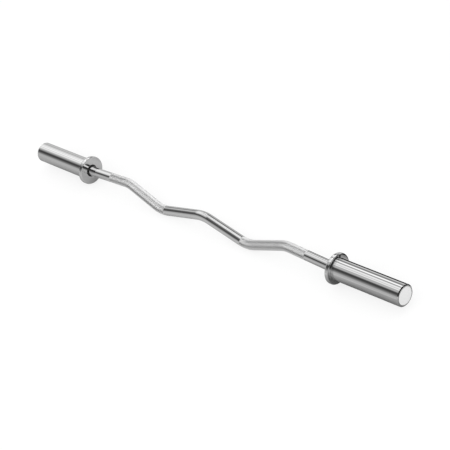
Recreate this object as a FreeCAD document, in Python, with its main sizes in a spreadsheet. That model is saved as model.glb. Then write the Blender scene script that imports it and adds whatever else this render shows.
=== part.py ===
"""EZ curl bar: a bent chromed shaft with a sleeve that spins on bushes at each end.

The bar lies on the floor on its two collars and the two low bends of its shaft. X runs along the
sleeves, +Z is up, and the origin is the middle of the bar on the axis of the sleeves. Millimetres.
"""

import FreeCAD, Part
import math
import os
import re
import Sketcher

V = FreeCAD.Vector

SIZES = {
    # the whole bar
    "bar_length": 1200,
    "loading_length": 182,
    # bent shaft: places along X and heights of the crests of its bends, measured on its centre line
    "shaft_dia": 23.5,
    "stub_length": 14,
    "stub_bend_radius": 150,
    "outer_bend_x": 272,
    "outer_bend_rise": 5.1,
    "outer_bend_radius": 80,
    "low_bend_x": 141,
    "low_bend_drop": 26.8,
    "low_bend_radius": 86,
    "middle_bend_drop": 2.7,
    "middle_bend_radius": 107,
    # turned ends of the shaft
    "journal_dia": 20,
    "journal_end": 4,
    "journal_chamfer": 1,
    # sleeve
    "sleeve_dia": 50,
    "sleeve_bore": 28,
    "sleeve_chamfer": 2.5,
    "spigot_dia": 44,
    "flange_pocket_dia": 34,
    "flange_pocket_depth": 8,
    "cap_pocket_dia": 41,
    "cap_pocket_depth": 26,
    # collar and the seal in its web
    "collar_dia": 71,
    "collar_thickness": 10,
    "collar_edge_radius": 3,
    "collar_web": 4,
    "collar_relief": 0.5,
    "collar_relief_depth": 1.5,
    "seal_dia": 31,
    "seal_set_in": 0.4,
    "seal_lip": 1.2,
    "seal_groove": 1.4,
    "seal_clearance": 0.15,
    # bushes, washers and retaining ring
    "bush_length": 30,
    "bush_flange_dia": 33,
    "bush_flange_thickness": 3,
    "bush_chamfer": 0.8,
    "running_clearance": 0.05,
    "end_float": 0.1,
    "washer_dia": 31,
    "washer_thickness": 2,
    "ring_thickness": 1.2,
    "ring_width": 2.6,
    "ring_groove_depth": 0.5,
    "ring_groove_play": 0.1,
    "ring_gap": 5,
    "ring_lug_dia": 5,
    "ring_hole_dia": 2,
    # end cap and label
    "cap_thickness": 3,
    "cap_skirt": 8,
    "cap_wall": 2,
    "label_thickness": 0.6,
    "label_set_in": 0.4,
    "label_clearance": 0.15,
}

# Places on the right-hand side, worked out from the sizes. X from the middle of the bar.
PLACES = {
    "bar_end": "bar_length / 2",
    "collar_out": "bar_end - loading_length",
    "collar_in": "collar_out - collar_thickness",
    "tube_in": "collar_in + collar_web",
    "flange_seat": "tube_in + flange_pocket_depth",
    "inner_flange_face": "flange_seat - bush_flange_thickness",
    "inner_washer_out": "inner_flange_face - end_float",
    "shoulder": "inner_washer_out - washer_thickness",
    "cap_seat": "bar_end - cap_pocket_depth",
    "outer_washer_in": "cap_seat + bush_flange_thickness + end_float",
    "outer_washer_out": "outer_washer_in + washer_thickness",
    "ring_out": "outer_washer_out + ring_thickness",
    "shaft_end": "ring_out + ring_groove_play + journal_end",
    "label_out": "bar_end - label_set_in",
    "label_in": "label_out - label_thickness",
    "stub_in": "collar_in - stub_length",
    "shaft_r": "shaft_dia / 2",
    "journal_r": "journal_dia / 2",
    "ring_groove_r": "journal_r - ring_groove_depth",
    "sleeve_r": "sleeve_dia / 2",
    "spigot_r": "spigot_dia / 2",
    "bore_r": "sleeve_bore / 2",
    "bush_inner_r": "journal_r + running_clearance",
    "washer_inner_r": "journal_r + running_clearance",
    "cap_r": "cap_pocket_dia / 2",
    "seal_inner_r": "shaft_r + seal_clearance",
    "lug_circle_r": "ring_groove_r + ring_lug_dia / 2",
}

doc = FreeCAD.newDocument("ez_curl_bar")
sheet = doc.addObject("Spreadsheet::Sheet", "Sizes")
for row, (alias, size) in enumerate(SIZES.items(), start=1):
    sheet.set(f"A{row}", alias)
    sheet.set(f"B{row}", str(size))
    sheet.setAlias(f"B{row}", alias)
doc.recompute()


def formula(text):
    """Write an expression on sizes and places as one on the sheet's cells."""
    def cell(match):
        word = match.group()
        if word in PLACES:
            return f"({formula(PLACES[word])})"
        return f"Sizes.{word}" if word in SIZES else word
    return re.sub(r"[a-z_]+", cell, text)


def value(text):
    """The number that such an expression has now."""
    return float(sheet.evalExpression(formula(text)))


def bind(thing, name, text):
    thing.setExpression(name, formula(text))


def new_body(node):
    body = doc.addObject("PartDesign::Body", node)
    body.Label = node
    return body


def plane(body, role):
    return next(p for p in body.Origin.OriginFeatures if p.Role == role)


def new_sketch(body, role, name, offset=None):
    """A sketch on one of the body's own planes, moved along its normal by an expression."""
    sketch = body.newObject("Sketcher::SketchObject", name)
    sketch.AttachmentSupport = [(plane(body, role), "")]
    sketch.MapMode = "FlatFace"
    if offset:
        bind(sketch, "AttachmentOffset.Base.z", offset)
    return sketch


def dimension(sketch, kind, refs, text):
    """Add a dimension to a sketch and bind it to an expression."""
    index = sketch.addConstraint(Sketcher.Constraint(kind, *refs, value(text)))
    sketch.setExpression(f"Constraints[{index}]", formula(text))


def hold_point(sketch, geo, end, x, y):
    """Place a point of the sketch by its distances from the sketch's origin, or on an axis at zero."""
    for kind, text, axis in (("DistanceX", x, -2), ("DistanceY", y, -1)):
        if text == "0":
            sketch.addConstraint(Sketcher.Constraint("PointOnObject", geo, end, axis))
        elif text.startswith("-"):
            dimension(sketch, kind, (geo, end, -1, 1), text[1:])
        else:
            dimension(sketch, kind, (-1, 1, geo, end), text)


def closed_outline(sketch, corners):
    """A closed outline through corners given as pairs of expressions, each held by dimensions."""
    points = [V(value(x), value(y), 0) for x, y in corners]
    for start, end in zip(points, points[1:] + points[:1]):
        sketch.addGeometry(Part.LineSegment(start, end))
    for line, (x, y) in enumerate(corners):
        before = (line - 1) % len(corners)
        sketch.addConstraint(Sketcher.Constraint("Coincident", before, 2, line, 1))
        hold_point(sketch, line, 1, x, y)


def held_circle(sketch, x, y, radius):
    """A circle held by its centre and radius."""
    geo = sketch.addGeometry(Part.Circle(V(value(x), value(y), 0), V(0, 0, 1), value(radius)))
    hold_point(sketch, geo, 3, x, y)
    dimension(sketch, "Radius", (geo,), radius)


def turn(body, corners):
    """Turn an outline, given as places along X and radii, about the axis of the sleeves."""
    sketch = new_sketch(body, "XZ_Plane", "outline")
    closed_outline(sketch, corners)
    turning = body.newObject("PartDesign::Revolution", "turning")
    turning.Profile = sketch
    turning.ReferenceAxis = (sketch, ["H_Axis"])
    return turning


def turned_piece(node, corners):
    body = new_body(node)
    turn(body, corners)
    return body


def make_shaft():
    """A round bar bent to a W, with both ends turned down to journals for the bushes."""
    body = new_body("shaft")
    bend_line = new_sketch(body, "XZ_Plane", "bend_line")
    draw_bend_line(bend_line)
    section = new_sketch(body, "YZ_Plane", "section", offset="-shoulder")
    held_circle(section, "0", "0", "shaft_r")
    bar = body.newObject("PartDesign::AdditivePipe", "bent_bar")
    bar.Profile = section
    bar.Spine = (bend_line, [f"Edge{n + 1}" for n in range(bend_line.GeometryCount)])
    right_end = turn(body, [
        ("shoulder", "0"),
        ("shoulder", "journal_r"),
        ("outer_washer_out - ring_groove_play", "journal_r"),
        ("outer_washer_out - ring_groove_play", "ring_groove_r"),
        ("ring_out + ring_groove_play", "ring_groove_r"),
        ("ring_out + ring_groove_play", "journal_r"),
        ("shaft_end - journal_chamfer", "journal_r"),
        ("shaft_end", "journal_r - journal_chamfer"),
        ("shaft_end", "0"),
    ])
    left_end = body.newObject("PartDesign::Mirrored", "left_end")
    left_end.Originals = [right_end]
    left_end.MirrorPlane = (plane(body, "YZ_Plane"), [""])
    body.Tip = left_end
    # The shaft leans about the sleeves' axis until its low bends rest on the floor with the collars.
    body.Placement = FreeCAD.Placement(V(), FreeCAD.Rotation(V(-1, 0, 0), 1))
    bind(body, "Placement.Rotation.Angle", "acos(min(1; (collar_dia - shaft_dia) / 2 / low_bend_drop))")
    return body


def draw_bend_line(sketch):
    """The shaft's centre line from shoulder to shoulder: straight runs and tangent bends."""
    half = [("shoulder", "0"), ("stub_in", "0"), ("outer_bend_x", "outer_bend_rise"),
            ("low_bend_x", "-low_bend_drop"), ("0", "-middle_bend_drop")]
    right = [V(value(x), value(z), 0) for x, z in half]
    left = [V(-point.x, point.y, 0) for point in right]
    route = left + right[-2::-1]
    runs = len(route) - 1
    for start, end in zip(route, route[1:]):
        sketch.addGeometry(Part.LineSegment(start, end))
    for run in range(runs - 1):
        sketch.addConstraint(Sketcher.Constraint("Coincident", run, 2, run + 1, 1))
    half_radii = ["stub_bend_radius", "outer_bend_radius", "low_bend_radius", "middle_bend_radius"]
    radii = half_radii + half_radii[-2::-1]
    for corner, radius in enumerate(radii):
        sketch.fillet(corner, 2, value(radius), True)
    for bend, radius in enumerate(radii):
        dimension(sketch, "Radius", (runs + bend,), radius)
    # Each bend's centre lies one radius below or above its crest.
    centres = [("outer_bend_x", "-(outer_bend_radius - outer_bend_rise)"),
               ("low_bend_x", "low_bend_radius - low_bend_drop")]
    for step, (x, z) in enumerate(centres, start=1):
        hold_point(sketch, runs + step, 3, f"-{x}", z)
        hold_point(sketch, runs + len(radii) - 1 - step, 3, x, z)
    hold_point(sketch, runs + len(radii) // 2, 3, "0", "-(middle_bend_radius + middle_bend_drop)")
    for end, x in ((1, "shoulder"), (2, "stub_in")):
        hold_point(sketch, 0, end, f"-{x}", "0")
        hold_point(sketch, runs - 1, 3 - end, x, "0")


def make_sleeve(node):
    """The tube that takes the plates: a spigot for the collar, and pockets for a bush and the end cap."""
    return turned_piece(node, [
        ("tube_in", "flange_pocket_dia / 2"),
        ("tube_in", "spigot_r"),
        ("collar_out", "spigot_r"),
        ("collar_out", "sleeve_r"),
        ("bar_end - sleeve_chamfer", "sleeve_r"),
        ("bar_end", "sleeve_r - sleeve_chamfer"),
        ("bar_end", "cap_r"),
        ("cap_seat", "cap_r"),
        ("cap_seat", "bore_r"),
        ("flange_seat", "bore_r"),
        ("flange_seat", "flange_pocket_dia / 2"),
    ])


def make_collar(node):
    """A disc with rounded edges: the sleeve's spigot sits in its outer side, the seal in its web.

    The mouth of its bore is relieved past the sleeve, so that a plate beds on the face alone.
    """
    body = new_body(node)
    disc = turn(body, [
        ("collar_in", "seal_dia / 2"),
        ("collar_in", "collar_dia / 2"),
        ("collar_out", "collar_dia / 2"),
        ("collar_out", "sleeve_r + collar_relief"),
        ("collar_out - collar_relief_depth", "spigot_r"),
        ("tube_in", "spigot_r"),
        ("tube_in", "seal_dia / 2"),
    ])
    doc.recompute()
    rim = [f"Edge{n}" for n, edge in enumerate(disc.Shape.Edges, start=1)
           if isinstance(edge.Curve, Part.Circle) and edge.Curve.Radius == disc.Shape.BoundBox.ZMax]
    rounding = body.newObject("PartDesign::Fillet", "rim")
    rounding.Base = (disc, rim)
    bind(rounding, "Radius", "collar_edge_radius")
    return body


def make_dust_seal(node):
    """A ring pressed into the collar's web, with a lip round the shaft and a hollow behind the lip."""
    lip = "(seal_inner_r + seal_lip)"
    face = "collar_in + seal_set_in"
    return turned_piece(node, [
        (face, "seal_inner_r"),
        (face, lip),
        (f"{face} + seal_groove", f"({lip} + seal_dia / 2) / 2"),
        (face, "seal_dia / 2"),
        ("tube_in", "seal_dia / 2"),
        ("tube_in", "seal_inner_r"),
    ])


def make_bush(node, seat, out):
    """A flanged bush: out is + where its flange is towards the bar's end, and - where it is inwards."""
    barrel_end = f"{seat} - ({out}1) * bush_length"
    flange_face = f"{seat} + ({out}1) * bush_flange_thickness"
    return turned_piece(node, [
        (flange_face, "bush_inner_r"),
        (flange_face, "bush_flange_dia / 2"),
        (seat, "bush_flange_dia / 2"),
        (seat, "bore_r"),
        (f"{barrel_end} + ({out}1) * bush_chamfer", "bore_r"),
        (barrel_end, "bore_r - bush_chamfer"),
        (barrel_end, "bush_inner_r"),
    ])


def make_washer(node, inner, outer):
    return turned_piece(node, [
        (inner, "washer_inner_r"),
        (inner, "washer_dia / 2"),
        (outer, "washer_dia / 2"),
        (outer, "washer_inner_r"),
    ])


def make_retaining_ring(node):
    """An open spring ring in the shaft's groove, with a holed lug on each side of its gap."""
    body = new_body(node)
    lug_y = "(ring_gap + ring_lug_dia) / 2"
    lug_z = f"sqrt(lug_circle_r ^ 2 - ({lug_y}) ^ 2)"
    outline = new_sketch(body, "YZ_Plane", "ring_outline", offset="outer_washer_out")
    held_circle(outline, "0", "0", "ring_groove_r + ring_width")
    pad(body, outline, "PartDesign::Pad", "ring")
    lugs = new_sketch(body, "YZ_Plane", "lug_outline", offset="outer_washer_out")
    for side in ("", "-"):
        held_circle(lugs, f"{side}({lug_y})", lug_z, "ring_lug_dia / 2")
    pad(body, lugs, "PartDesign::Pad", "lugs")
    holes = new_sketch(body, "YZ_Plane", "hole_outline", offset="outer_washer_out")
    held_circle(holes, "0", "0", "ring_groove_r")
    for side in ("", "-"):
        held_circle(holes, f"{side}({lug_y})", lug_z, "ring_hole_dia / 2")
    pad(body, holes, "PartDesign::Pocket", "holes")
    gap = new_sketch(body, "YZ_Plane", "gap_outline", offset="outer_washer_out")
    top = "ring_groove_r + ring_lug_dia"
    right, left = "ring_gap / 2", "-(ring_gap / 2)"
    closed_outline(gap, [(left, "0"), (right, "0"), (right, top), (left, top)])
    pad(body, gap, "PartDesign::Pocket", "gap")
    return body


def pad(body, sketch, kind, name):
    """Raise or cut a sketch by the retaining ring's thickness, towards the bar's end."""
    feature = body.newObject(kind, name)
    feature.Profile = sketch
    bind(feature, "Length", "ring_thickness")
    feature.Reversed = kind == "PartDesign::Pocket"
    return feature


def make_end_cap(node):
    """A plug with a skirt that closes the sleeve's end."""
    plate_in = "label_in - cap_thickness"
    skirt_in = f"{plate_in} - cap_skirt"
    return turned_piece(node, [
        ("label_in", "0"),
        ("label_in", "cap_r"),
        (skirt_in, "cap_r"),
        (skirt_in, "cap_r - cap_wall"),
        (plate_in, "cap_r - cap_wall"),
        (plate_in, "0"),
    ])


def make_end_label(node):
    """The bare disc on the end cap."""
    return turned_piece(node, [
        ("label_in", "0"),
        ("label_in", "cap_r - label_clearance"),
        ("label_out", "cap_r - label_clearance"),
        ("label_out", "0"),
    ])


def make_side(side):
    """The ten pieces at one end; the left-hand ones are the right-hand ones turned half round."""
    pieces = [
        make_sleeve(f"{side}_sleeve"),
        make_collar(f"{side}_collar"),
        make_dust_seal(f"{side}_dust_seal"),
        make_bush(f"{side}_inner_bush", "flange_seat", "-"),
        make_bush(f"{side}_outer_bush", "cap_seat", "+"),
        make_washer(f"{side}_inner_thrust_washer", "shoulder", "inner_washer_out"),
        make_washer(f"{side}_outer_thrust_washer", "outer_washer_in", "outer_washer_out"),
        make_retaining_ring(f"{side}_retaining_ring"),
        make_end_cap(f"{side}_end_cap"),
        make_end_label(f"{side}_end_label"),
    ]
    for piece in pieces if side == "left" else []:
        piece.Placement = FreeCAD.Placement(V(), FreeCAD.Rotation(V(0, 0, 1), 180))
    return pieces


pieces = [make_shaft()] + make_side("left") + make_side("right")
doc.recompute()

for thing in doc.Objects:
    if {"Invalid", "Error"} & set(thing.State):
        raise RuntimeError(f"{thing.Label} failed: {thing.State}")
for piece in pieces:
    if piece.Shape.isNull() or not piece.Shape.isValid() or len(piece.Shape.Solids) != 1:
        raise RuntimeError(f"{piece.Label} is not one valid solid")

os.makedirs("parts", exist_ok=True)
for piece in pieces:
    piece.Shape.exportStep(f"parts/{piece.Label}.step")
    print(f"{piece.Label}: {piece.Shape.Volume / 1000:.2f} cm3")
lean = math.degrees(pieces[0].Placement.Rotation.Angle)
print(f"The shaft leans {lean:.2f} degrees from upright")
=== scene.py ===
# %% [markdown]
# # A curl bar in chrome
#
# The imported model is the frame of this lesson: every piece already has its true size and place, in
# metres, with the origin in the middle of the bar and X along the sleeves. The lesson gives the pieces
# that show a finer mesh and a finish. Loading the frame leaves its nodes selected, and an operator acts
# on all that is selected, so the first thing to do is to deselect everything.

# %% Load the frame
import math

import bmesh
import bpy
from mathutils import Matrix, Vector


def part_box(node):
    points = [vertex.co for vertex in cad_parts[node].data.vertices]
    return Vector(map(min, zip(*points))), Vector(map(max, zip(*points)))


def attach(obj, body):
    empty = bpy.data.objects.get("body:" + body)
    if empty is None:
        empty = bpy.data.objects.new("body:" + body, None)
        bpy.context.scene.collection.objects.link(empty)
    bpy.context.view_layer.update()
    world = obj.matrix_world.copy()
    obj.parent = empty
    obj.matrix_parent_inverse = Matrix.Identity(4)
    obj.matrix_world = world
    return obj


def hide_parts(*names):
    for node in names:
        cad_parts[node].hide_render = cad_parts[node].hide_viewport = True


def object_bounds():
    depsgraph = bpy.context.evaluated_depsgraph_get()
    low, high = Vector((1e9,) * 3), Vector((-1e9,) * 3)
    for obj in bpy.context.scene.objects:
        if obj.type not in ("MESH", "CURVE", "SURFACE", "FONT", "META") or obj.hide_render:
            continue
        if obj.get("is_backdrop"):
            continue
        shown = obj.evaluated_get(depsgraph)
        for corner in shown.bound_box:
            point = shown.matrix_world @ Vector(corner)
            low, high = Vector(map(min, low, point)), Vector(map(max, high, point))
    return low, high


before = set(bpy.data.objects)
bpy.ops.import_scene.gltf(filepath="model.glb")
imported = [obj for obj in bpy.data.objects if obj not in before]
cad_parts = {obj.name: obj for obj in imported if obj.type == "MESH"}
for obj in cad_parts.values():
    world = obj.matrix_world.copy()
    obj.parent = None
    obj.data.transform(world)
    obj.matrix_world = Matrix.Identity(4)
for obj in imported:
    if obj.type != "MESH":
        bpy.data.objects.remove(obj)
cad_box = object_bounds()
bpy.ops.object.select_all(action="DESELECT")
print("nodes in the frame:", len(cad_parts))

# %% [markdown]
# ## Sizes from the frame
#
# The bar is a set of turned pieces on one axis, so nearly all of its sizes are radii and places along
# X. They are read from the nodes, which keeps the scene right when the model changes. A turned node's
# radius is the largest distance of its points from the X axis.

# %% Measure the turned pieces


def radius_of(node):
    """The largest distance of a turned node's points from the bar's axis."""
    return max(math.hypot(point.co.y, point.co.z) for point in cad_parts[node].data.vertices)


collar_in, collar_out = (corner.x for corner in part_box("right_collar"))
tube_in, bar_end = (corner.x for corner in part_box("right_sleeve"))
label_in, label_out = (corner.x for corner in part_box("right_end_label"))
seal_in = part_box("right_dust_seal")[0].x
shaft_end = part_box("shaft")[1].x
collar_radius = radius_of("right_collar")
sleeve_radius = radius_of("right_sleeve")
seal_radius = radius_of("right_dust_seal")
label_radius = radius_of("right_end_label")
print(f"sleeve {2 * sleeve_radius:.4f} m across, collar {2 * collar_radius:.4f} m")
print(f"bar {2 * bar_end:.3f} m long")

# %% [markdown]
# ## The camera
#
# The photograph looks at the right-hand end from about 46 degrees round and 23 degrees up, with the
# bends of the grip hanging straight down. A bar that lies on a floor tips over until it rests on its
# collars and on its two low bends. The camera is therefore placed round the upright bar first and then
# tipped with it, by the angle that brings the low bends level with the collars.

# %% Set up the camera
SHAFT_RADIUS = 0.01175
LOW_BEND_DROP = 0.0268
VIEW_ROUND = math.radians(45.88)
VIEW_UP = math.radians(22.87)
VIEW_DISTANCE = 3.325
BAR_LEFT_OF_CENTRE = 0.0495
BAR_ABOVE_CENTRE = 0.0226
LENS = 114.78

lean = math.acos((collar_radius - SHAFT_RADIUS) / LOW_BEND_DROP)
tip_over = Matrix.Rotation(-lean, 3, "X")
back = tip_over @ Vector((
    math.sin(VIEW_ROUND) * math.cos(VIEW_UP), -math.cos(VIEW_ROUND) * math.cos(VIEW_UP), math.sin(VIEW_UP)))
right = tip_over @ Vector((math.cos(VIEW_ROUND), math.sin(VIEW_ROUND), 0))
up = back.cross(right)

bpy.ops.object.camera_add()
camera = bpy.context.object
camera.name = "photo_camera"
camera.matrix_world = Matrix.Translation(
    BAR_LEFT_OF_CENTRE * right - BAR_ABOVE_CENTRE * up + VIEW_DISTANCE * back
) @ Matrix((right, up, back)).transposed().to_4x4()
camera.data.lens = LENS
bpy.context.scene.camera = camera
bpy.context.scene.view_settings.view_transform = "Standard"
print(f"the bar leans {math.degrees(lean):.1f} degrees; camera at", [round(x, 3) for x in camera.location])

# %% [markdown]
# ## Writing shaders as sums
#
# A shader is a net of nodes, and most of the nodes in it only add and multiply. The class below wraps
# one socket, so that Python's own operators add the Math nodes. Its one method for any other node takes
# the node's type, then the values or links of its sockets, and its settings, which are set before the
# sockets are filled.

# %% A socket that can be used in sums


class Signal:
    """A socket of a node tree, on which Python's operators add Math nodes."""

    def __init__(self, tree, socket=None):
        self.tree = tree
        self.socket = socket

    def node(self, kind, sockets=(), out=0, stops=(), **settings):
        """Add a node: its settings and its ramp's stops first, then its sockets' values or links."""
        made = self.tree.nodes.new(kind)
        for name, setting in settings.items():
            setattr(made, name, setting)
        for number, (place, level) in enumerate(stops):
            elements = made.color_ramp.elements
            stop = elements[number] if number < 2 else elements.new(place)
            stop.position = place
            stop.color = (level, level, level, 1)
        for name, given in dict(sockets).items():
            if isinstance(given, Signal):
                self.tree.links.new(given.socket, made.inputs[name])
            else:
                made.inputs[name].default_value = given
        return Signal(self.tree, made.outputs[out] if made.outputs else None)

    def math(self, operation, *values):
        """One Math node on these values."""
        return self.node("ShaderNodeMath", enumerate(values), operation=operation)

    def axes(self):
        """The three parts of a vector."""
        split = self.node("ShaderNodeSeparateXYZ", {"Vector": self}).socket.node
        return [Signal(self.tree, part) for part in split.outputs]

    def blend(self, low, high):
        """A colour between two others, by this value."""
        return self.node("ShaderNodeMix", {0: self, 6: low, 7: high}, out=2, data_type="RGBA")

    def __add__(self, other):
        return self.math("ADD", self, other)

    def __sub__(self, other):
        return self.math("SUBTRACT", self, other)

    def __rsub__(self, other):
        return self.math("SUBTRACT", other, self)

    def __mul__(self, other):
        return self.math("MULTIPLY", self, other)

    def __truediv__(self, other):
        return self.math("DIVIDE", self, other)

    def __pow__(self, other):
        return self.math("POWER", self, other)

    __radd__ = __add__
    __rmul__ = __mul__


print("sums ready")

# %% [markdown]
# ## From an empty net to a finish
#
# A new material comes with nodes of its own. Every finish here clears them and starts from an empty
# net, so that nothing is in it that the lesson didn't put there, and a piece's finish ends in one
# Principled shader.

# %% Start and end a finish


def new_finish(name):
    """An empty material, and a signal on its tree to add nodes with."""
    material = bpy.data.materials.new(name)
    material.use_nodes = True
    material.node_tree.nodes.clear()
    return material, Signal(material.node_tree)


def coat(tools, sockets):
    """End a finish: one Principled shader with these sockets, on the material's output."""
    shader = tools.node("ShaderNodeBsdfPrincipled", sockets)
    tools.node("ShaderNodeOutputMaterial", {"Surface": shader})


def grey(level):
    """A grey of this level as a colour."""
    return (level, level, level, 1)


print("finishes can start")

# %% [markdown]
# ## Polished chrome
#
# Sleeves and collars are turned on a lathe, polished and plated. What shows on them is mostly the room,
# so the finish is a clean metal with little roughness. Two things keep it from looking like a perfect
# mirror: fine rings that the tool and the polishing wheel left round the axis, and a faint cloudiness
# from handling. The rings are one-dimensional noise on x plus radius, which runs round the tube and
# also round the flat faces.

# %% Make the polished chrome
CHROME = 0.78
CHROME_CLOUD = 0.03


def polished_chrome():
    material, tools = new_finish("sleeve_chrome")
    place = tools.node("ShaderNodeTexCoord", out="Object")
    x, y, z = place.axes()
    lathe = x + (y * y + z * z) ** 0.5
    rings = tools.node("ShaderNodeTexNoise", {"W": lathe, "Scale": 1500, "Detail": 4}, noise_dimensions="1D")
    cloud = tools.node("ShaderNodeTexNoise", {"Vector": place, "Scale": 22, "Detail": 5, "Roughness": 0.6})
    bump = tools.node("ShaderNodeBump", {"Height": rings, "Strength": 0.04, "Distance": 0.00002})
    coat(tools, {
        "Base Color": cloud.blend(grey(CHROME - CHROME_CLOUD), grey(CHROME + CHROME_CLOUD)),
        "Metallic": 1,
        "Roughness": 0.02 + 0.02 * rings + 0.03 * cloud ** 2,
        "Normal": bump,
    })
    return material


chrome = polished_chrome()
print("made", chrome.name)

# %% [markdown]
# ## Turning a piece
#
# A lathe makes a round piece from one outline. In Blender the same piece can be a profile that is spun,
# or a circle that is extruded along the axis and scaled at each step. The second way leaves no seam to
# close, so it is used here: each corner of the outline is one ring. The last ring lands on the first
# and is merged with it, which closes the section of a tube.

# %% Tools for turned pieces
RING_SIDES = 128
NEAR = 1e-6


def start_ring(name, x, radius, sides=RING_SIDES):
    """A circle square to the bar's axis, left in edit mode with all of it selected."""
    bpy.ops.object.select_all(action="DESELECT")
    bpy.ops.mesh.primitive_circle_add(
        vertices=sides, radius=radius, location=(x, 0, 0), rotation=(0, math.pi / 2, 0))
    piece = bpy.context.object
    piece.name = name
    bpy.ops.object.transform_apply(location=True, rotation=True, scale=True)
    bpy.ops.object.mode_set(mode="EDIT")
    bpy.ops.mesh.select_mode(type="VERT")
    bpy.ops.mesh.select_all(action="SELECT")
    return piece


def extrude_ring(x_from, radius_from, x, radius):
    """Draw the selected ring on to the next place and size."""
    bpy.ops.mesh.extrude_region_move(TRANSFORM_OT_translate={"value": (x - x_from, 0, 0)})
    scale = radius / radius_from
    bpy.ops.transform.resize(value=(1, scale, scale), center_override=(x, 0, 0))


def turned(name, outline):
    """A ring-shaped piece with this outline of (x, radius) corners, left in edit mode."""
    piece = start_ring(name, *outline[0])
    for corner, following in zip(outline, outline[1:] + outline[:1]):
        extrude_ring(*corner, *following)
    bpy.ops.mesh.select_all(action="SELECT")
    bpy.ops.mesh.remove_doubles(threshold=NEAR)
    bpy.ops.mesh.normals_make_consistent(inside=False)
    return piece


print("lathe ready, for rings of", RING_SIDES, "points")

# %% [markdown]
# ## Choosing edges and rounding them
#
# By hand, an edge ring is picked with a click. In code a rule picks it: the mesh is read in edit mode,
# and what fits the rule is selected. The edges of turned pieces are whole rings, so the rule is the
# ring's place along the bar and its radius. A bevel then rounds what is selected.

# %% Tools for selecting and rounding


def select(piece, kind, wanted):
    """Select the points, edges or faces that the rule wants, and nothing else."""
    bpy.ops.mesh.select_mode(type=kind)
    bpy.ops.mesh.select_all(action="DESELECT")
    mesh = bmesh.from_edit_mesh(piece.data)
    for element in {"VERT": mesh.verts, "EDGE": mesh.edges, "FACE": mesh.faces}[kind]:
        if wanted(element):
            element.select_set(True)
    bmesh.update_edit_mesh(piece.data)


def lies_on(edge, x, radius):
    """Whether an edge is part of the ring at this place."""
    return all(
        abs(end.co.x - x) < NEAR and abs(math.hypot(end.co.y, end.co.z) - radius) < NEAR
        for end in edge.verts)


def round_rings(piece, places, width, segments):
    """Round the edges at these places."""
    select(piece, "EDGE", lambda edge: any(lies_on(edge, *place) for place in places))
    bpy.ops.mesh.bevel(offset=width, segments=segments, affect="EDGES")


print("bevel ready")

# %% [markdown]
# ## Shading and placing a piece
#
# A turned piece is smooth round its axis and sharp at its corners, so it is shaded smooth except over
# edges that turn by more than 20 degrees. Weighted normals then keep its large faces true, which keeps
# reflections in them straight. Both ends of the bar are alike: a piece is made for the right-hand end,
# and a copy with its own mesh is turned half round for the left-hand one.

# %% Tools for shading and placing
SHARP_FROM = math.radians(20)


def shade(piece):
    """Leave edit mode and shade the piece smooth, with sharp corners and true large faces."""
    bpy.ops.object.mode_set(mode="OBJECT")
    bpy.ops.object.shade_smooth_by_angle(angle=SHARP_FROM)
    piece.modifiers.new("true_faces", "WEIGHTED_NORMAL").keep_sharp = True
    bpy.ops.object.modifier_apply(modifier="true_faces")


def pick(piece):
    """Make this piece the active one, with nothing else selected."""
    bpy.ops.object.select_all(action="DESELECT")
    piece.select_set(True)
    bpy.context.view_layer.objects.active = piece


def dress(piece, body, node, finish):
    """Give a piece its finish and the body that it rides on, and hide the node that it stands for."""
    piece.data.materials.append(finish)
    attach(piece, body)
    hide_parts(node)


def both_sides(piece, kind, finish):
    """Dress the right-hand piece, and a copy of it that is turned half round for the left-hand end."""
    pick(piece)
    bpy.ops.object.duplicate(linked=False)
    twin = bpy.context.object
    twin.name = piece.name.replace("right", "left")
    twin.rotation_euler.z = math.pi
    bpy.ops.object.transform_apply(location=True, rotation=True, scale=True)
    dress(piece, "right_sleeve_unit", "right_" + kind, finish)
    dress(twin, "left_sleeve_unit", "left_" + kind, finish)
    print(f"{piece.name} and {twin.name}: {len(piece.data.polygons)} faces each")


print(f"edges stay sharp from {math.degrees(SHARP_FROM):.0f} degrees")

# %% [markdown]
# ## The sleeves
#
# A sleeve is the thick tube that takes the plates. Outside it is one long cylinder with a chamfered
# end; inside it has a pocket for the end cap, a bore for the bushes and a smaller pocket for a bush
# flange. Its corners are the corners of the tube's section. A hair of rounding on the chamfer catches
# the light as a machined edge does.

# %% Turn the sleeves
SLEEVE_CHAMFER = 0.0025
SPIGOT_RADIUS = 0.022
CAP_POCKET_RADIUS = 0.0205
CAP_POCKET_DEPTH = 0.026
SLEEVE_BORE_RADIUS = 0.014
FLANGE_POCKET_RADIUS = 0.017
FLANGE_POCKET_DEPTH = 0.008
MACHINED_EDGE = 0.0003
MACHINED_EDGE_STEPS = 3

cap_seat = bar_end - CAP_POCKET_DEPTH
flange_seat = tube_in + FLANGE_POCKET_DEPTH
sleeve = turned("right_sleeve_tube", [
    (tube_in, FLANGE_POCKET_RADIUS),
    (tube_in, SPIGOT_RADIUS),
    (collar_out, SPIGOT_RADIUS),
    (collar_out, sleeve_radius),
    (bar_end - SLEEVE_CHAMFER, sleeve_radius),
    (bar_end, sleeve_radius - SLEEVE_CHAMFER),
    (bar_end, CAP_POCKET_RADIUS),
    (cap_seat, CAP_POCKET_RADIUS),
    (cap_seat, SLEEVE_BORE_RADIUS),
    (flange_seat, SLEEVE_BORE_RADIUS),
    (flange_seat, FLANGE_POCKET_RADIUS),
])
round_rings(sleeve, [
    (bar_end - SLEEVE_CHAMFER, sleeve_radius),
    (bar_end, sleeve_radius - SLEEVE_CHAMFER),
    (bar_end, CAP_POCKET_RADIUS),
], MACHINED_EDGE, MACHINED_EDGE_STEPS)
shade(sleeve)
both_sides(sleeve, "sleeve", chrome)

# %% [markdown]
# ## The collars
#
# A collar is the disc that stops the plates. It sits on the sleeve's spigot, and its rim is rounded on
# both sides so that it doesn't bite. The outline has the sharp corners of the blank, and the rim's two
# edges are bevelled with many segments, which gives the highlight that runs round it.

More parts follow.
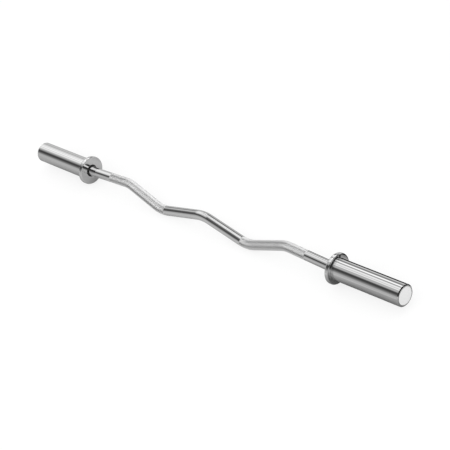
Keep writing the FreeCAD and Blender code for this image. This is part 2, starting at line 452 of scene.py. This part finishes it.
# %% Turn the collars
COLLAR_EDGE_RADIUS = 0.003
COLLAR_EDGE_STEPS = 8
COLLAR_BORE_STEPS = 2
COLLAR_RELIEF = 0.0005
COLLAR_RELIEF_DEPTH = 0.0015

collar = turned("right_collar_disc", [
    (collar_in, seal_radius),
    (collar_in, collar_radius),
    (collar_out, collar_radius),
    (collar_out, sleeve_radius + COLLAR_RELIEF),
    (collar_out - COLLAR_RELIEF_DEPTH, SPIGOT_RADIUS),
    (tube_in, SPIGOT_RADIUS),
    (tube_in, seal_radius),
])
rim = [(collar_in, collar_radius), (collar_out, collar_radius)]
round_rings(collar, rim, COLLAR_EDGE_RADIUS, COLLAR_EDGE_STEPS)
round_rings(collar, [(collar_in, seal_radius)], MACHINED_EDGE, COLLAR_BORE_STEPS)
shade(collar)
both_sides(collar, "collar", chrome)

# %% [markdown]
# ## Black rubber and the dust seals
#
# The seal is the dark ring between the collar and the shaft. It turns with the collar and its lip runs
# close round the shaft, with a hollow behind the lip that lets it give. Moulded rubber is never quite
# black: it is a dark grey with a fine grain and paler dust in the hollows of that grain.

# %% Turn the dust seals
SEAL_GAP = 0.00015
SEAL_LIP = 0.0012
SEAL_GROOVE = 0.0014
SEAL_ROUNDING = 0.0002
SEAL_ROUNDING_STEPS = 2
RUBBER_GREYS = (0.012, 0.05)


def seal_rubber():
    material, tools = new_finish("moulded_rubber")
    place = tools.node("ShaderNodeTexCoord", out="Object")
    grain = tools.node("ShaderNodeTexNoise", {"Vector": place, "Scale": 1800, "Detail": 3})
    dust = tools.node("ShaderNodeTexNoise", {"Vector": place, "Scale": 90, "Detail": 6})
    coat(tools, {
        "Base Color": (dust * grain).blend(*map(grey, RUBBER_GREYS)),
        "Roughness": 0.45 + 0.25 * dust,
        "Normal": tools.node("ShaderNodeBump", {"Height": grain, "Strength": 0.25, "Distance": 0.0001}),
    })
    return material


seal_bore = SHAFT_RADIUS + SEAL_GAP
lip_radius = seal_bore + SEAL_LIP
seal = turned("right_seal_ring", [
    (seal_in, seal_bore),
    (seal_in, lip_radius),
    (seal_in + SEAL_GROOVE, (lip_radius + seal_radius) / 2),
    (seal_in, seal_radius),
    (tube_in, seal_radius),
    (tube_in, seal_bore),
])
front_edges = [(seal_in, seal_bore), (seal_in, lip_radius), (seal_in, seal_radius)]
round_rings(seal, front_edges, SEAL_ROUNDING, SEAL_ROUNDING_STEPS)
shade(seal)
both_sides(seal, "dust_seal", seal_rubber())

# %% [markdown]
# ## White film and the end labels
#
# The outer end of a sleeve is closed by a plug with a bare white disc on it. The disc is thin film, so
# it is a filled circle with a little thickness: the circle is extruded twice, straight and then inwards
# for a soft edge, and its front face is inset, so that the flat that carries the film's grain starts
# inside that edge.

# %% Cut the end labels
LABEL_SHOULDER = 0.0003
LABEL_ROUNDING = 0.0002
FILM_GREYS = (0.79, 0.83)


def label_film():
    material, tools = new_finish("label_film")
    place = tools.node("ShaderNodeTexCoord", out="Object")
    grain = tools.node("ShaderNodeTexNoise", {"Vector": place, "Scale": 2600, "Detail": 2})
    wave = tools.node("ShaderNodeTexNoise", {"Vector": place, "Scale": 60, "Detail": 3})
    coat(tools, {
        "Base Color": wave.blend(*map(grey, FILM_GREYS)),
        "Roughness": 0.4 + 0.1 * grain,
        "Normal": tools.node("ShaderNodeBump", {"Height": grain, "Strength": 0.08, "Distance": 0.00005}),
    })
    return material


label = start_ring("right_label_disc", label_in, label_radius)
bpy.ops.mesh.edge_face_add()
extrude_ring(label_in, label_radius, label_out - LABEL_ROUNDING, label_radius)
extrude_ring(label_out - LABEL_ROUNDING, label_radius, label_out, label_radius - LABEL_ROUNDING)
bpy.ops.mesh.inset(thickness=LABEL_SHOULDER, depth=0)
bpy.ops.mesh.select_all(action="SELECT")
bpy.ops.mesh.normals_make_consistent(inside=False)
shade(label)
both_sides(label, "end_label", label_film())

# %% [markdown]
# ## The bend line of the grip
#
# The shaft of a curl bar is straight stock that is knurled first and bent afterwards, in seven bends.
# From the middle outwards they are the middle bend, a low bend, an outer bend and the bend that brings
# the shaft back to the sleeve's axis. Neighbouring bends lie on opposite sides of the shaft, so the
# straight run between two of them is the line that touches both circles and crosses between their
# centres.

# %% Draw the bend line
MIDDLE_BEND = (0, -0.0027, 0.107, -1)
LOW_BEND = (0.141, -LOW_BEND_DROP, 0.086, 1)
OUTER_BEND = (0.272, 0.0051, 0.080, -1)
STUB_BEND = (0.394, 0, 0.150, 1)


class Bend:
    """One bend: the x and z of its crest or hollow, its radius, and its side.

    The side is 1 where the bend's centre is above the shaft, and -1 where it is below.
    """

    def __init__(self, x, z, radius, side):
        self.centre = Vector((x, z + side * radius))
        self.radius = radius
        self.side = side

    def point(self, heading):
        """Where the shaft touches this bend while it runs in that direction."""
        across = Vector((-math.sin(heading), math.cos(heading)))
        return self.centre - self.side * self.radius * across


def run_between(first, second):
    """Direction and length of the straight run between two bends."""
    across = second.centre - first.centre
    reach = first.radius + second.radius
    length = math.sqrt(across.length_squared - reach ** 2)
    return math.atan2(across.y, across.x) + first.side * math.atan2(reach, length), length


half = [Bend(*size) for size in (LOW_BEND, OUTER_BEND, STUB_BEND)]
mirrored = [Bend(-x, z, radius, side) for x, z, radius, side in (STUB_BEND, OUTER_BEND, LOW_BEND)]
bends = mirrored + [Bend(*MIDDLE_BEND)] + half
end_run = (0, shaft_end - STUB_BEND[0])
runs = [end_run] + [run_between(*pair) for pair in zip(bends, bends[1:])] + [end_run]
arcs = [bend.radius * abs(after[0] - before[0]) for bend, before, after in zip(bends, runs, runs[1:])]
stock_length = sum(arcs) + sum(length for heading, length in runs)
print(f"straight stock {stock_length:.4f} m; runs", [round(length, 4) for heading, length in runs[4:]],
      "arcs", [round(arc, 4) for arc in arcs[3:]])

# %% [markdown]
# ## A curve to bend along
#
# The line itself is a Bezier curve with one point at each end of each bend. Handles of a third of a run
# keep the runs straight, and the usual handle length for an arc, 4/3 of the tangent of a quarter of its
# turn, follows the bends to a few thousandths of a millimetre.

# %% Turn the bend line into a curve
CURVE_STEPS = 64


def bend_points():
    """Place, direction and the two handle lengths at each end of the line and of each bend."""
    yield Vector((-shaft_end, 0)), 0, end_run[1] / 3, end_run[1] / 3
    for bend, (before, length_before), (after, length_after) in zip(bends, runs, runs[1:]):
        handle = 4 / 3 * math.tan(abs(after - before) / 4) * bend.radius
        yield bend.point(before), before, length_before / 3, handle
        yield bend.point(after), after, handle, length_after / 3
    yield Vector((shaft_end, 0)), 0, end_run[1] / 3, end_run[1] / 3


bpy.ops.object.select_all(action="DESELECT")
bpy.ops.curve.primitive_bezier_curve_add()
bend_line = bpy.context.object
bend_line.name = "bend_line"
bend_line.data.twist_mode = "Z_UP"
bend_line.data.resolution_u = CURVE_STEPS
bend_line.data.use_deform_bounds = True
line = bend_line.data.splines[0]
line.bezier_points.add(2 * len(bends))
for point, (place, heading, before, after) in zip(line.bezier_points, bend_points()):
    along = Vector((math.cos(heading), 0, math.sin(heading)))
    point.handle_left_type = point.handle_right_type = "FREE"
    point.co = (place.x, 0, place.y)
    point.handle_left = point.co - before * along
    point.handle_right = point.co + after * along
print(f"bend line of {len(line.bezier_points)} points, {line.calc_length():.4f} m long")

# %% [markdown]
# ## Straight stock
#
# The stock is a ring that is extruded from end to end, with a ring wherever something begins: the
# groove for the retaining ring, the shoulder behind the thin journal, the bends, and the two knurled
# zones. The two ends are then closed. A plain cylinder with loop cuts would give the same shape, but
# here each ring goes straight to its place.

# %% Draw out the straight stock
SHAFT_SIDES = 120
JOURNAL_RADIUS = 0.010
JOURNAL_CHAMFER = 0.001
SHOULDER_SETBACK = 0.1695
RING_GROOVE_DEPTH = 0.0005
KNURL_FROM = 0.130
KNURL_TO = 0.3337

groove_in, groove_out = (shaft_end - corner.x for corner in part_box("right_retaining_ring"))
journal = [
    (0, JOURNAL_RADIUS - JOURNAL_CHAMFER),
    (JOURNAL_CHAMFER, JOURNAL_RADIUS),
    (groove_out, JOURNAL_RADIUS),
    (groove_out, JOURNAL_RADIUS - RING_GROOVE_DEPTH),
    (groove_in, JOURNAL_RADIUS - RING_GROOVE_DEPTH),
    (groove_in, JOURNAL_RADIUS),
    (SHOULDER_SETBACK, JOURNAL_RADIUS),
    (SHOULDER_SETBACK, SHAFT_RADIUS),
]
half_stock = stock_length / 2
middle_end = arcs[3] / 2
low_start = middle_end + runs[4][1]
stub_start = low_start + arcs[4] + runs[5][1] + arcs[5] + runs[6][1]
stub_end = stub_start + arcs[6]
marks = [middle_end, low_start, KNURL_FROM, KNURL_TO, stub_start, stub_end]
right_half = [(mark, SHAFT_RADIUS) for mark in marks]
right_half += [(half_stock - setback, radius) for setback, radius in reversed(journal)]
rings = [(-x, radius) for x, radius in reversed(right_half)] + right_half

shaft = start_ring("bent_shaft", *rings[0], SHAFT_SIDES)
for ring, following in zip(rings, rings[1:]):
    extrude_ring(*ring, *following)
bpy.ops.mesh.select_all(action="SELECT")
bpy.ops.mesh.fill_holes(sides=0)
bpy.ops.mesh.normals_make_consistent(inside=False)
print(f"stock of {len(rings)} rings, {stock_length:.4f} m long")

# %% [markdown]
# ## Rows for the bends and the knurl
#
# A long face can't bend, and a knurl needs a grid of points, so the faces of the bends and of the
# knurled zones are cut into short rows. The straight runs between them stay long, which saves faces and
# keeps their reflections clean. Subdividing a ring of edges does this in one step for a whole zone.

# %% Cut the bends and the knurl into rows
KNURL_ROW = 0.0009
BEND_ROW = 0.002


def cut_rows(piece, start, end, row):
    """Cut the faces between the rings at start and end into rows of about this length."""
    def runs_along(edge):
        first, last = sorted(point.co.x for point in edge.verts)
        return abs(first - start) < NEAR and abs(last - end) < NEAR

    select(piece, "EDGE", runs_along)
    bpy.ops.mesh.subdivide_edgering(number_cuts=round((end - start) / row) - 1, interpolation="LINEAR")


cut_rows(shaft, -middle_end, middle_end, BEND_ROW)
for start, end, row in (
    (low_start, KNURL_FROM, BEND_ROW), (KNURL_FROM, KNURL_TO, KNURL_ROW), (stub_start, stub_end, BEND_ROW)
):
    cut_rows(shaft, start, end, row)
    cut_rows(shaft, -end, -start, row)
print("stock cut into", len(bmesh.from_edit_mesh(shaft.data).faces), "faces")

# %% [markdown]
# ## The knurl
#
# A knurling tool presses two sets of grooves into the stock, one leaning each way, and leaves a field
# of small pyramids between them. The rows give that grid: every second point, staggered from row to
# row, is a peak, and the others are the bottoms of the grooves, which are scaled towards the axis. Each
# face then has bottoms at two opposite corners, and cutting it along its shorter diagonal, which joins
# them, makes the grooves run on from face to face.

# %% Roll the knurl
KNURL_DEPTH = 0.0003

knurl_rows = round((KNURL_TO - KNURL_FROM) / KNURL_ROW)


def in_knurl(place):
    """Whether a place is inside one of the two knurled zones."""
    return KNURL_FROM + NEAR < abs(place.x) < KNURL_TO - NEAR


def is_peak(place):
    """Whether a point of the grid is the tip of a pyramid."""
    row = (abs(place.x) - KNURL_FROM) / (KNURL_TO - KNURL_FROM) * knurl_rows
    side = math.atan2(place.z, place.y) / math.tau * SHAFT_SIDES
    return (round(row) + round(side)) % 2 == 0


select(shaft, "VERT", lambda point: in_knurl(point.co) and not is_peak(point.co))
scale = 1 - KNURL_DEPTH / SHAFT_RADIUS
bpy.ops.transform.resize(value=(1, scale, scale), center_override=(0, 0, 0))
select(shaft, "FACE", lambda face: in_knurl(face.calc_center_median()))
bpy.ops.mesh.quads_convert_to_tris(quad_method="SHORTEST_DIAGONAL")
bpy.ops.object.mode_set(mode="OBJECT")
print(f"knurl of {knurl_rows} rows on each side,", len(shaft.data.polygons), "faces in all")

# %% [markdown]
# ## Two numbers that follow the bar
#
# The pattern of a finish has to follow the bar round its bends, and a pattern on plain coordinates
# would not. So two numbers are stored on the points while the stock is still straight: how far along
# they are, and how high they stand, from 0 in a groove of the knurl to 1 on the full radius.

# %% Store place and height on the points


def store(piece, name, values):
    """Keep one number for each point of a piece."""
    piece.data.attributes.new(name, "FLOAT", "POINT").data.foreach_set("value", values)


points = [point.co for point in shaft.data.vertices]
store(shaft, "along", [place.x for place in points])
store(shaft, "height", [1 + (math.hypot(place.y, place.z) - SHAFT_RADIUS) / KNURL_DEPTH for place in points])
print("numbers stored on", len(points), "points")

# %% [markdown]
# ## Two finishes on one bar
#
# The smooth parts of the shaft are polished like the sleeves, with polishing rings that run round the
# bar. The knurl is plated over, so its grooves are duller and darker than its worn tips. One mesh can
# carry both finishes: each is a material slot, and the faces of the knurl are given the second one.

# %% Finish the shaft
GROOVE_GAIN = 0.02
TIP_GAIN = 0.20


def shaft_chrome():
    material, tools = new_finish("shaft_chrome")
    place = tools.node("ShaderNodeTexCoord", out="Object")
    along = tools.node("ShaderNodeAttribute", out="Fac", attribute_name="along")
    rings = tools.node("ShaderNodeTexNoise", {"W": along, "Scale": 1200, "Detail": 4}, noise_dimensions="1D")
    cloud = tools.node("ShaderNodeTexNoise", {"Vector": place, "Scale": 26, "Detail": 5})
    coat(tools, {
        "Base Color": cloud.blend(grey(CHROME - CHROME_CLOUD), grey(CHROME + CHROME_CLOUD)),
        "Metallic": 1,
        "Roughness": 0.04 + 0.03 * rings + 0.05 * cloud ** 2,
        "Normal": tools.node("ShaderNodeBump", {"Height": rings, "Strength": 0.04, "Distance": 0.00002}),
    })
    return material


def knurled_chrome():
    material, tools = new_finish("satin_knurl")
    place = tools.node("ShaderNodeTexCoord", out="Object")
    tip = tools.node("ShaderNodeAttribute", out="Fac", attribute_name="height")
    cloud = tools.node("ShaderNodeTexNoise", {"Vector": place, "Scale": 40, "Detail": 5})
    coat(tools, {
        "Base Color": tip.blend(grey(CHROME + GROOVE_GAIN), grey(CHROME + TIP_GAIN)),
        "Metallic": 1,
        "Roughness": 0.3 - 0.14 * tip + 0.08 * cloud,
    })
    return material


for finish in (shaft_chrome(), knurled_chrome()):
    shaft.data.materials.append(finish)
bpy.ops.object.mode_set(mode="EDIT")
select(shaft, "FACE", lambda face: in_knurl(face.calc_center_median()))
shaft.active_material_index = 1
bpy.ops.object.material_slot_assign()
bpy.ops.object.mode_set(mode="OBJECT")
print("finishes on the shaft:", [material.name for material in shaft.data.materials])

# %% [markdown]
# ## Bending the bar
#
# Now the stock is bent as on the real bar. A Curve modifier takes each point's x as the distance along
# the bend line, and applying it leaves a plain mesh. The bar is then tipped over, as far as the camera
# was, so that the two low bends reach the floor.

# %% Bend and tip the shaft
pick(shaft)
bending = shaft.modifiers.new("bending", "CURVE")
bending.object = bend_line
bending.deform_axis = "POS_X"
bpy.ops.object.modifier_apply(modifier="bending")
shaft.rotation_euler.x = -lean
bpy.ops.object.transform_apply(location=True, rotation=True, scale=True)
shade(shaft)
bpy.data.objects.remove(bend_line)
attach(shaft, "shaft")
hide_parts("shaft")
print("lowest point of the shaft", round(min(point.co.z for point in shaft.data.vertices), 5),
      "and of the collars", round(-collar_radius, 5))

# %% [markdown]
# ## What is inside: bronze bushes
#
# The bushes, washers, rings and end caps are hidden in the sleeves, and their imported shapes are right,
# so they stay as they are and only get a finish. A bush is pressed from bronze powder and soaked in
# oil. Small cells stand for its open pores, and slow noise for the stains of the oil.

# %% Make the oiled bronze
BRONZE_COLOURS = ((0.30, 0.17, 0.07, 1), (0.52, 0.33, 0.14, 1))


def bush_bronze():
    material, tools = new_finish("oiled_bronze")
    place = tools.node("ShaderNodeTexCoord", out="Object")
    pores = tools.node("ShaderNodeTexVoronoi", {"Vector": place, "Scale": 1400})
    stain = tools.node("ShaderNodeTexNoise", {"Vector": place, "Scale": 120, "Detail": 5})
    coat(tools, {
        "Base Color": stain.blend(*BRONZE_COLOURS),
        "Metallic": 1,
        "Roughness": 0.25 + 0.3 * stain,
        "Normal": tools.node("ShaderNodeBump", {"Height": pores, "Strength": 0.2, "Distance": 0.0001}),
    })
    return material


bronze = bush_bronze()
print("made", bronze.name)

# %% [markdown]
# ## Steel washers and rings
#
# Thrust washers and retaining rings are punched from rolled sheet, whose grain runs in straight lines.
# Noise on one coordinate alone gives such lines.

# %% Make the rolled steel
STEEL_GREYS = (0.32, 0.45)


def rolled_steel():
    material, tools = new_finish("rolled_steel")
    place = tools.node("ShaderNodeTexCoord", out="Object")
    across = place.axes()[1]
    grain = tools.node("ShaderNodeTexNoise", {"W": across, "Scale": 3000, "Detail": 3}, noise_dimensions="1D")
    stain = tools.node("ShaderNodeTexNoise", {"Vector": place, "Scale": 150, "Detail": 4})
    coat(tools, {
        "Base Color": stain.blend(*map(grey, STEEL_GREYS)),
        "Metallic": 1,
        "Roughness": 0.28 + 0.15 * grain,
        "Normal": tools.node("ShaderNodeBump", {"Height": grain, "Strength": 0.1, "Distance": 0.00005}),
    })
    return material


steel = rolled_steel()
print("made", steel.name)

# %% [markdown]
# ## Plastic end caps
#
# The cap that closes a sleeve is moulded in black plastic, with the fine leathery grain that the mould
# gives it. Cells make that grain, as on the bronze, but lower and on a dull dark ground.

# %% Make the plastic and finish the inner pieces
PLASTIC_GREYS = (0.015, 0.03)


def cap_plastic():
    material, tools = new_finish("grained_plastic")
    place = tools.node("ShaderNodeTexCoord", out="Object")
    grain = tools.node("ShaderNodeTexVoronoi", {"Vector": place, "Scale": 1100})
    shade_of_black = tools.node("ShaderNodeTexNoise", {"Vector": place, "Scale": 70, "Detail": 4})
    coat(tools, {
        "Base Color": shade_of_black.blend(*map(grey, PLASTIC_GREYS)),
        "Roughness": 0.4 + 0.15 * grain,
        "Normal": tools.node("ShaderNodeBump", {"Height": grain, "Strength": 0.15, "Distance": 0.0001}),
    })
    return material


plastic = cap_plastic()
inside = {
    "inner_bush": bronze, "outer_bush": bronze, "inner_thrust_washer": steel, "outer_thrust_washer": steel,
    "retaining_ring": steel, "end_cap": plastic,
}
for kind, finish in inside.items():
    for side in ("left_", "right_"):
        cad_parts[side + kind].material_slots[0].material = finish
print("finished inside:", ", ".join(inside))

# %% [markdown]
# ## The floor
#
# The photograph has a white ground. The floor is white where the camera sees it, and its diffuse part
# still takes the soft shadow of the bar. Polished metal shows the floor as well: there it is a plain
# grey table top with two darker strips along the bar, painted into the colour that only reflected rays
# see. The one in front is painted shade under the bar and is darkest at the right-hand sleeve. The one
# behind is a painted dark band, which draws the dark line on the upper edge of that sleeve as a painted
# reflection. Each strip is a ramp across the bar times a ramp along it.

# %% Lay the floor
FLOOR_SIZE = 40
SHADOW_LIFT = 0.77
TABLE_GREY = 0.60
TABLE_ACROSS = [(0.04, 0.60), (0.10, 0.51)]
# Ramps of the painted shade under the bar and of the painted dark line behind it, which only reflected rays
# see.
PAINTED_SHADE_ACROSS = [(-0.4, 0.18), (-0.08, 0.27), (-0.03, 0.38), (0, 0.40), (0.02, 0.18), (0.05, 0)]
PAINTED_SHADE_ALONG = [(-0.43, 0.65), (-0.38, 0.2), (0.15, 0.2), (0.42, 1)]
PAINTED_LINE_ACROSS = [(0.05, 0), (0.065, 0.5), (0.35, 0.5), (0.45, 0)]
PAINTED_LINE_ALONG = [(-0.5, 0), (-0.38, 0.2), (0, 0.3), (0.2, 1), (0.62, 1), (0.75, 0)]


def ramp(value, stops):
    """A grey that follows stops of (value, level), and keeps the end levels beyond them."""
    low, high = stops[0][0], stops[-1][0]
    span = high - low
    return value.node("ShaderNodeValToRGB", {"Fac": (value - low) / span},
                      stops=[((place - low) / span, level) for place, level in stops])


def floor_finish():
    material, tools = new_finish("pale_floor")
    x, y, _ = tools.node("ShaderNodeTexCoord", out="Object").axes()
    # Painted shade under the bar, and a painted dark band behind it that gives the chrome a dark line.
    in_front = ramp(y, PAINTED_SHADE_ACROSS) * ramp(x, PAINTED_SHADE_ALONG)
    behind = ramp(y, PAINTED_LINE_ACROSS) * ramp(x, PAINTED_LINE_ALONG)
    table = ramp(y, TABLE_ACROSS) - in_front - behind
    camera_ray = tools.node("ShaderNodeLightPath", out="Is Camera Ray")
    glossy_ray = tools.node("ShaderNodeLightPath", out="Is Glossy Ray")
    colour = camera_ray.blend(glossy_ray.blend(grey(TABLE_GREY), table), grey(1))
    diffuse = tools.node("ShaderNodeBsdfDiffuse", {"Color": colour})
    glow = tools.node("ShaderNodeEmission", {"Color": grey(1), "Strength": 1})
    mixed = tools.node("ShaderNodeMixShader", {0: camera_ray * SHADOW_LIFT, 1: diffuse, 2: glow})
    tools.node("ShaderNodeOutputMaterial", {"Surface": mixed})
    return material


bpy.ops.object.select_all(action="DESELECT")
bpy.ops.mesh.primitive_plane_add(size=FLOOR_SIZE, location=(0, 0, -collar_radius))
floor = bpy.context.object
floor.name = "floor"
bpy.ops.object.transform_apply(location=True, rotation=True, scale=True)
floor.data.materials.append(floor_finish())
floor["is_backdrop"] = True
print("floor at z", round(-collar_radius, 4))

# %% [markdown]
# ## Cards that only reflections see
#
# A photographer gives chrome its dark lines with black cards that stand just out of the picture. Here a
# card is an arc, made like a turned piece from one circle, which two cuts through the axis then
# shorten. Its front glows with an even grey and is clear from behind, so it paints a dark or pale line
# into the chrome's reflections on one side only. Only glossy rays see it, so it takes no light away and
# casts no shadow. A card may also be left out of first reflections, and then it shows only in the
# reflection of a reflection.

# %% Tools for the cards


def card_finish(name, level, reflections):
    """An even grey on the front, for rays reflected at least so often, and clear for all others."""
    material, tools = new_finish(name)
    depth = tools.node("ShaderNodeLightPath", out="Glossy Depth")
    from_behind = tools.node("ShaderNodeNewGeometry", out="Backfacing")
    seen = (1 - from_behind) * depth.math("GREATER_THAN", depth, reflections - 0.5)
    clear = tools.node("ShaderNodeBsdfTransparent")
    front = tools.node("ShaderNodeEmission", {"Color": grey(level), "Strength": 1})
    card = tools.node("ShaderNodeMixShader", {0: seen, 1: clear, 2: front})
    tools.node("ShaderNodeOutputMaterial", {"Surface": card})
    return material


def arc_card(name, start, edges, arc, finish, shift=0):
    """A card between two edges of (distance from start, radius), moved up and forward.

    Its arc is in degrees. It faces left where the second edge is the larger one, and else right.
    """
    first, second = ((start + distance, radius) for distance, radius in edges)
    card = start_ring(name, *first)
    extrude_ring(*first, *second)
    bpy.ops.mesh.select_all(action="SELECT")
    bpy.ops.transform.translate(value=(0, -shift, shift))
    for inwards in (math.radians(arc[0] + 90), math.radians(arc[1] - 90)):
        bpy.ops.mesh.select_all(action="SELECT")
        bpy.ops.mesh.bisect(
            plane_co=(0, 0, 0), plane_no=(0, math.cos(inwards), math.sin(inwards)), clear_inner=True)
    bpy.ops.mesh.select_all(action="SELECT")
    bpy.ops.mesh.flip_normals()
    bpy.ops.object.mode_set(mode="OBJECT")
    card.data.materials.append(finish)
    card.visible_camera = card.visible_diffuse = card.visible_shadow = False
    card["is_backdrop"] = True
    print(f"{name} of {len(card.data.polygons)} faces")


print("cards can be cut")

# %% [markdown]
# ## Where the cards stand
#
# The collar card is a cone over the right-hand sleeve and shows in the corner between collar and
# sleeve. The end card stands close in front of the right-hand end and draws the line round the white
# disc. The three seal cards stand in front of the left-hand collar and draw the dark edges of the
# shaft's reflection in it, so only rays that were reflected twice see them. The pale card keeps the
# dark strip of the floor out of the inner face of the right-hand collar. An arc's degrees count from
# behind the bar upwards.

# %% Set up the cards
CARD_BLACK = 0.04
CARD_PALE = 0.5
COLLAR_CARD_EDGES = [(0.032, 0.047), (0.111, 0.165)]
COLLAR_CARD_ARC = (-40, 140)
COLLAR_CARD_SHIFT = 0.008
END_CARD_EDGES = [(0.003, 0.0245), (0.003, 0.040)]
END_CARD_ARC = (-38, 142)
SEAL_CARDS = {
    "seal_card_behind": ([(0.038, 0.026), (0.038, 0.046)], (12, 66)),
    "seal_card_above": ([(0.038, 0.051), (0.038, 0.095)], (-12, 40)),
    "seal_card_in_front": ([(0.038, 0.026), (0.038, 0.085)], (99, 130)),
}
PALE_CARD_EDGES = [(-0.008, 0.046), (-0.008, 0.013)]
PALE_CARD_ARC = (-20, 150)

black = card_finish("black_card", CARD_BLACK, reflections=1)
arc_card("collar_card", collar_out, COLLAR_CARD_EDGES, COLLAR_CARD_ARC, black, COLLAR_CARD_SHIFT)
arc_card("end_card", bar_end, END_CARD_EDGES, END_CARD_ARC, black)
black_twice = card_finish("black_card_for_double_reflections", CARD_BLACK, reflections=2)
for name, (edges, arc) in SEAL_CARDS.items():
    arc_card(name, -collar_in, edges, arc, black_twice)
pale = card_finish("pale_card", CARD_PALE, reflections=1)
arc_card("pale_card", collar_in, PALE_CARD_EDGES, PALE_CARD_ARC, pale)

# %% [markdown]
# ## Light for chrome
#
# Chrome is lit by what it reflects. Along the photographed sleeves run straight bands: a pale wall,
# long soft boxes overhead with gaps between them, a black flag in front, and the table. They run along
# the bar, so ramps on the angle round the bar describe them: 0 degrees is behind it, 90 above, 180 in
# front. The near sleeve and the far one are seen at different angles along the bar, so each shows its
# own part of the boxes, and the near set changes over to the far set between them. The boxes have an
# end, so towards both ends of the bar they narrow and fade. Only glossy rays see the bands. Everything
# else gets an even dome of strength 1, so that a colour comes out about as it is written, and the
# camera sees white.

# %% Build the studio
STUDIO_WALLS = [
    (0, 0.58), (20, 0.58), (28, 0.75), (37, 0.75),
    (44, 0.27), (70, 0.24), (120, 0.20),
    (150, 0.10), (160, 0.05), (170, 0.10), (184, 0.30),
    (194, 0.53), (360, 0.53),
]
NEAR_BOXES = [
    (57, 0), (63, 0.75), (68, 1.3), (76, 1.3),
    (82, 0.4), (89, 0.4),
    (95, 1.05), (106, 1.05), (111, 0.7), (114, 0.7), (118, 1.1), (122, 1.05),
    (129, 0.5), (134, 0.5), (139, 0.6), (146, 0.4), (152, 0),
]
FAR_BOXES = [
    (40, 0), (46, 0.5), (54, 0.62), (60, 0.85), (65, 0.72), (72, 0.85), (80, 1.2), (87, 0.8),
    (96, 1.3), (107, 0.8), (116, 1.1), (124, 0.8), (132, 0.52), (140, 0.4), (148, 0.15), (154, 0),
]
FAR_FROM = [(0.63, 0), (0.70, 1)]
BOX_MIDDLE = 100
BOX_NARROWING = [(0, 1), (0.3, 1), (0.42, 1.9), (0.47, 1.9), (0.53, 1), (0.78, 1), (0.86, 1.9), (1, 2.2)]
BOX_FADING = [(0, 1.5), (0.3, 1.5), (0.45, 1), (0.78, 1), (0.86, 0.63), (1, 0.55)]


def build_studio():
    """A world of bands for glossy rays, an even dome for all other light, and white for the camera."""
    world = bpy.data.worlds.new("studio")
    bpy.context.scene.world = world
    world.use_nodes = True
    world.node_tree.nodes.clear()
    tools = Signal(world.node_tree)
    x, y, z = tools.node("ShaderNodeTexCoord", out="Generated").axes()
    turn = (z.math("ARCTAN2", z, y) + lean) / math.tau
    angle = 360 * turn.math("FRACT", turn)
    end = x.math("ABSOLUTE", x)
    box_angle = BOX_MIDDLE + (angle - BOX_MIDDLE) * ramp(end, BOX_NARROWING)
    far = ramp(end, FAR_FROM)
    boxes = ramp(box_angle, NEAR_BOXES) * (1 - far) + ramp(box_angle, FAR_BOXES) * far
    boxes = boxes * ramp(end, BOX_FADING)
    bands = boxes.math("MAXIMUM", boxes, ramp(angle, STUDIO_WALLS))
    glossy_ray = tools.node("ShaderNodeLightPath", out="Is Glossy Ray")
    camera_ray = tools.node("ShaderNodeLightPath", out="Is Camera Ray")
    light = camera_ray.blend(glossy_ray.blend(grey(1), bands), grey(1))
    background = tools.node("ShaderNodeBackground", {"Color": light, "Strength": 1})
    tools.node("ShaderNodeOutputWorld", {"Surface": background})


build_studio()
print("studio bands:", len(STUDIO_WALLS + NEAR_BOXES + FAR_BOXES))

# %% [markdown]
# ## Two soft lamps
#
# Rubber, film and floor take their light from the dome, which is even from all sides and leaves them
# flat. Two wide, weak lamps give them a lighter side: one beside the right-hand end, and one in front
# of the left-hand half. The chrome doesn't show the lamps, because its bands are already drawn.

# %% Hang the lamps
LAMPS = {
    "key_box": {"place": (2.2, -0.8, 0.9), "target": (bar_end, 0, 0), "size": 1.2, "power": 9},
    "fill_box": {"place": (-1.2, -1.4, 1.6), "target": (-bar_end / 2, 0, 0), "size": 1.4, "power": 6},
}


def soft_box(name, place, target, size, power):
    """A round area lamp that faces its target and doesn't show in reflections."""
    bpy.ops.object.light_add(type="AREA", location=place)
    lamp = bpy.context.object
    lamp.name = name
    lamp.data.shape = "DISK"
    lamp.data.size = size
    lamp.data.energy = power
    lamp.rotation_euler = (Vector(target) - Vector(place)).to_track_quat("-Z", "Y").to_euler()
    lamp.visible_glossy = False


for name, settings in LAMPS.items():
    soft_box(name, **settings)
print("lamps:", ", ".join(LAMPS))

# %% Show the sizes and finish
boxes = {"cad": cad_box, "visual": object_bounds()}
{name: [list(corner) for corner in box] for name, box in boxes.items()}
print("boxes:", {name: [[round(x, 4) for x in corner] for corner in box] for name, box in boxes.items()})
